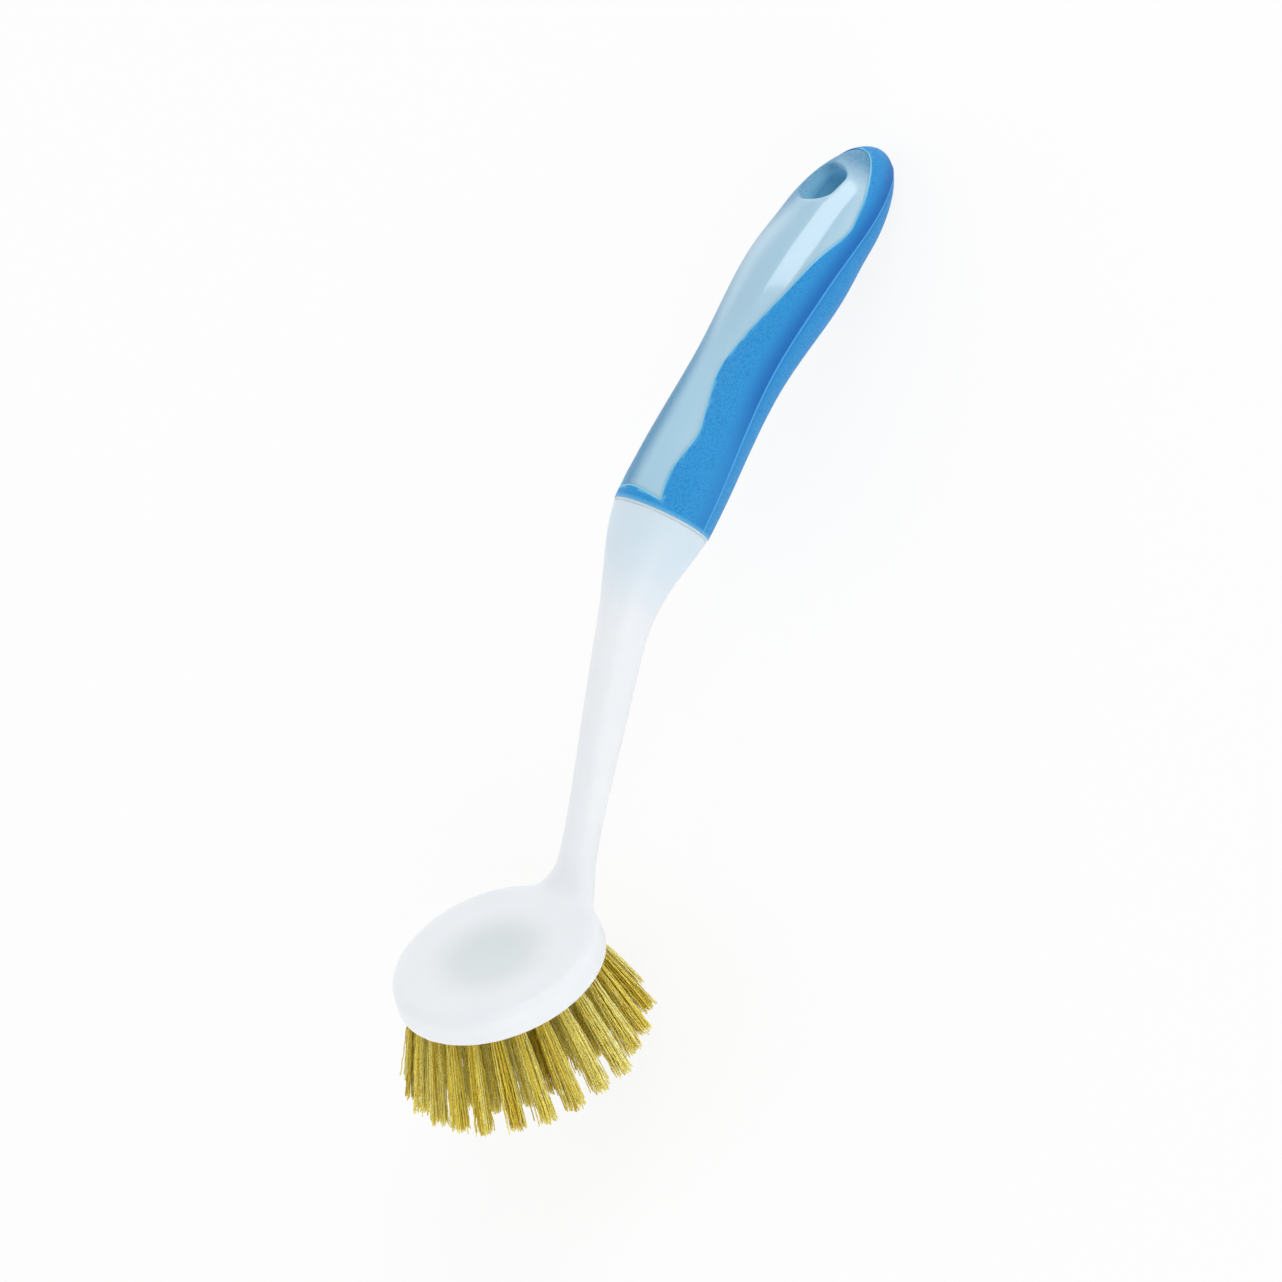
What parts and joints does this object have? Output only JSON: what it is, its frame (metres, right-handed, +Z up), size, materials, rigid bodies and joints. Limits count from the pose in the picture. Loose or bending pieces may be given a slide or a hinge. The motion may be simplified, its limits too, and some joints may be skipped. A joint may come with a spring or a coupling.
{
  "type": "stove brush",
  "caption": "Hand brush with a round head of splayed golden wire tufts, a slim white neck raised from the head and a soft two-colour grip with a clear window and a hanging hole.",
  "frame": {"origin": "on the table, under the middle of the outline of the brush as it lies at rest on its heel tufts and its grip", "axes": "+X along the brush from the head to the tip of the handle, +Z up from the table, +Y across the brush"},
  "size_m": [0.2866, 0.07, 0.0663],
  "materials": {
    "white_plastic": "satin moulded, slightly translucent",
    "clear_plastic": "clear pale blue, smooth",
    "blue_rubber": "matte soft-touch",
    "brass_wire": "fine crimped wire",
    "anchor_wire": "flattened drawn wire"
  },
  "bodies": {
    "root": {"brush_body": "white_plastic", "handle_core": "clear_plastic", "soft_grip": "blue_rubber", "bristles_outer": "brass_wire", "bristles_second": "brass_wire", "bristles_third": "brass_wire", "bristles_centre": "brass_wire", "anchor_outer_01": "anchor_wire", "anchor_outer_02": "anchor_wire", "anchor_outer_03": "anchor_wire", "anchor_outer_04": "anchor_wire", "anchor_outer_05": "anchor_wire", "anchor_outer_06": "anchor_wire", "anchor_outer_07": "anchor_wire", "anchor_outer_08": "anchor_wire", "anchor_outer_09": "anchor_wire", "anchor_outer_10": "anchor_wire", "anchor_outer_11": "anchor_wire", "anchor_outer_12": "anchor_wire", "anchor_outer_13": "anchor_wire", "anchor_outer_14": "anchor_wire", "anchor_outer_15": "anchor_wire", "anchor_outer_16": "anchor_wire", "anchor_outer_17": "anchor_wire", "anchor_outer_18": "anchor_wire", "anchor_outer_19": "anchor_wire", "anchor_outer_20": "anchor_wire", "anchor_outer_21": "anchor_wire", "anchor_outer_22": "anchor_wire", "anchor_outer_23": "anchor_wire", "anchor_outer_24": "anchor_wire", "anchor_second_01": "anchor_wire", "anchor_second_02": "anchor_wire", "anchor_second_03": "anchor_wire", "anchor_second_04": "anchor_wire", "anchor_second_05": "anchor_wire", "anchor_second_06": "anchor_wire", "anchor_second_07": "anchor_wire", "anchor_second_08": "anchor_wire", "anchor_second_09": "anchor_wire", "anchor_second_10": "anchor_wire", "anchor_second_11": "anchor_wire", "anchor_second_12": "anchor_wire", "anchor_second_13": "anchor_wire", "anchor_second_14": "anchor_wire", "anchor_second_15": "anchor_wire", "anchor_second_16": "anchor_wire", "anchor_third_01": "anchor_wire", "anchor_third_02": "anchor_wire", "anchor_third_03": "anchor_wire", "anchor_third_04": "anchor_wire", "anchor_third_05": "anchor_wire", "anchor_third_06": "anchor_wire", "anchor_third_07": "anchor_wire", "anchor_third_08": "anchor_wire", "anchor_third_09": "anchor_wire", "anchor_third_10": "anchor_wire", "anchor_centre_01": "anchor_wire", "anchor_centre_02": "anchor_wire"}
  },
  "joints": []
}
